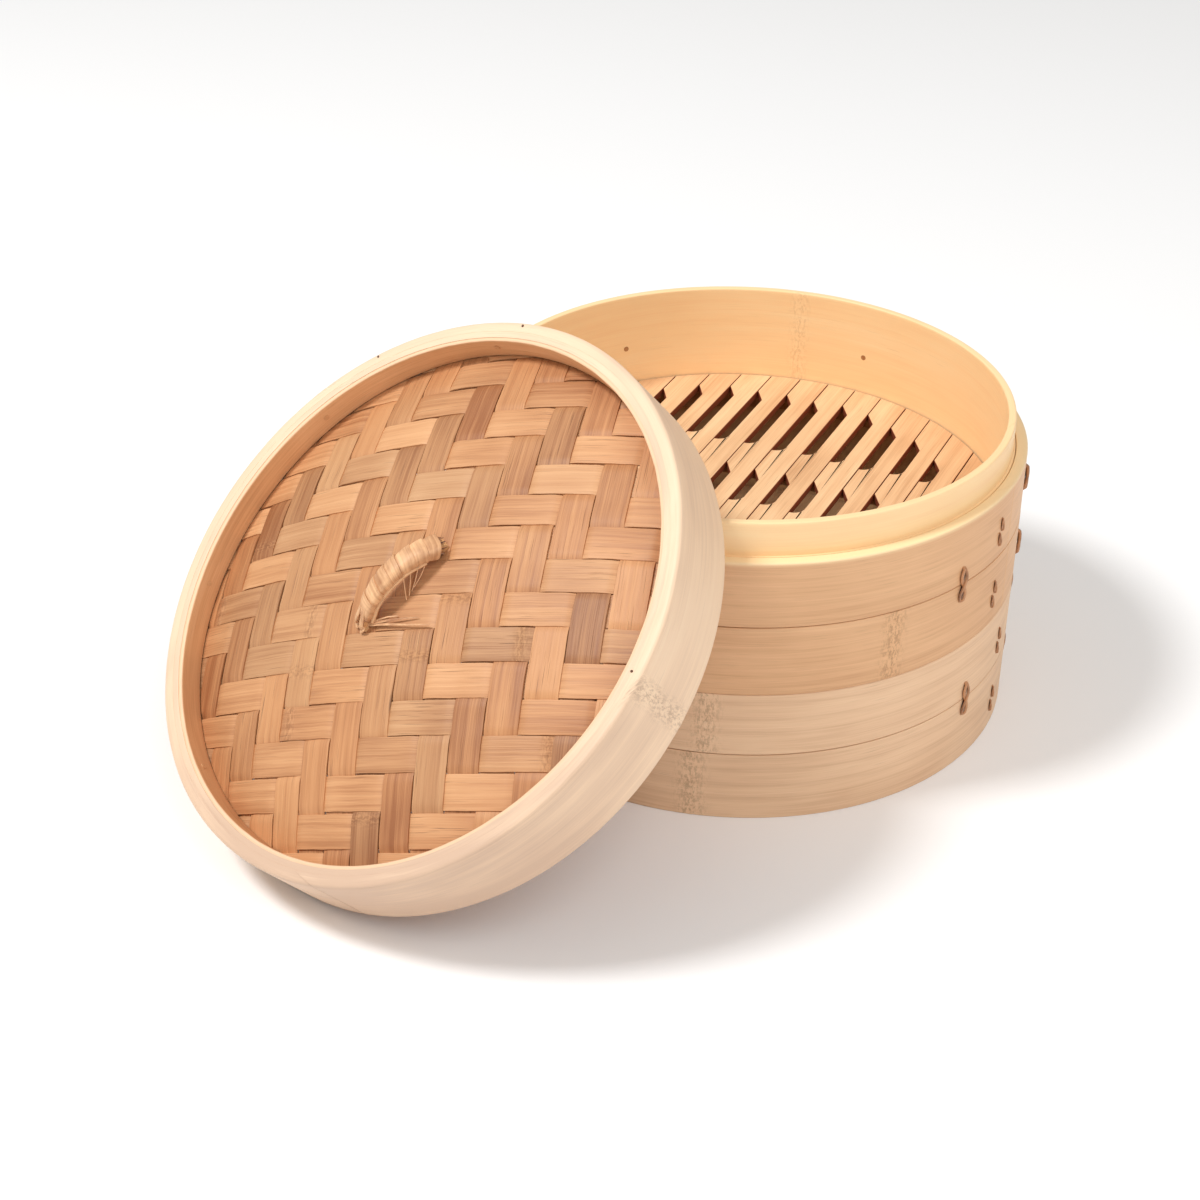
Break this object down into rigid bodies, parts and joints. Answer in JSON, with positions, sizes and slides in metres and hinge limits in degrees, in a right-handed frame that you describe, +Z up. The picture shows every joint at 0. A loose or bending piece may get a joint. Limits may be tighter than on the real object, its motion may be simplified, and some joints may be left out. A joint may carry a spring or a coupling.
{
  "type": "bamboo steamer",
  "caption": "Round stacking bamboo steamer with slatted floors, laced outer hoops and a domed woven lid with a wrapped arch handle, the lid leaning on the stack.",
  "frame": {"origin": "centre of the lower tier's base, on the ground", "axes": "+Z up the stack; the lid leans on the -X side with its woven face towards -X and up; +Y completes the right-handed set"},
  "size_m": [0.3225, 0.2009, 0.1539],
  "materials": {
    "warm_bamboo": "matte",
    "band_bamboo": "matte",
    "slat_bamboo": "matte",
    "pale_bamboo": "matte",
    "weft_bamboo": "matte",
    "warp_bamboo": "matte",
    "wrap_rattan": "matte",
    "dark_rattan": "matte",
    "peg_bamboo": "matte"
  },
  "bodies": {
    "lower_tier": {"lower_inner_hoop": "warm_bamboo", "lower_upper_band": "band_bamboo", "lower_lower_band": "band_bamboo", "lower_floor_ring": "warm_bamboo", "lower_cross_bars": "slat_bamboo", "lower_seam_stitches": "dark_rattan", "lower_lap_stitches": "dark_rattan", "lower_pegs": "peg_bamboo", "lower_slat_01": "slat_bamboo", "lower_slat_02": "slat_bamboo", "lower_slat_03": "slat_bamboo", "lower_slat_04": "slat_bamboo", "lower_slat_05": "slat_bamboo", "lower_slat_06": "slat_bamboo", "lower_slat_07": "slat_bamboo", "lower_slat_08": "slat_bamboo", "lower_slat_09": "slat_bamboo", "lower_slat_10": "slat_bamboo", "lower_slat_11": "slat_bamboo", "lower_slat_12": "slat_bamboo", "lower_slat_13": "slat_bamboo", "lower_slat_14": "slat_bamboo", "lower_slat_15": "slat_bamboo", "lower_slat_16": "slat_bamboo"},
    "upper_tier": {"upper_inner_hoop": "warm_bamboo", "upper_upper_band": "band_bamboo", "upper_lower_band": "band_bamboo", "upper_floor_ring": "warm_bamboo", "upper_cross_bars": "slat_bamboo", "upper_seam_stitches": "dark_rattan", "upper_lap_stitches": "dark_rattan", "upper_pegs": "peg_bamboo", "upper_slat_01": "slat_bamboo", "upper_slat_02": "slat_bamboo", "upper_slat_03": "slat_bamboo", "upper_slat_04": "slat_bamboo", "upper_slat_05": "slat_bamboo", "upper_slat_06": "slat_bamboo", "upper_slat_07": "slat_bamboo", "upper_slat_08": "slat_bamboo", "upper_slat_09": "slat_bamboo", "upper_slat_10": "slat_bamboo", "upper_slat_11": "slat_bamboo", "upper_slat_12": "slat_bamboo", "upper_slat_13": "slat_bamboo", "upper_slat_14": "slat_bamboo", "upper_slat_15": "slat_bamboo", "upper_slat_16": "slat_bamboo"},
    "lid": {"lid_outer_hoop": "pale_bamboo", "lid_inner_hoop": "pale_bamboo", "lid_clamp_strip": "warm_bamboo", "lid_support_ring": "warm_bamboo", "lid_ribs": "slat_bamboo", "lid_weft_strips": "weft_bamboo", "lid_warp_strips": "warp_bamboo", "lid_handle_core": "warm_bamboo", "lid_handle_wrap": "wrap_rattan", "lid_handle_toggles": "peg_bamboo", "lid_pegs": "peg_bamboo"}
  },
  "joints": [
    {"name": "tier_lift", "type": "slide", "parent": "lower_tier", "child": "upper_tier", "axis": [0, 0, 1], "range_m": [0, 0.08]},
    {"name": "lid_lift", "type": "slide", "parent": "upper_tier", "child": "lid", "axis": [-0.6678, 0, 0.7443], "range_m": [0, 0.12]}
  ]
}
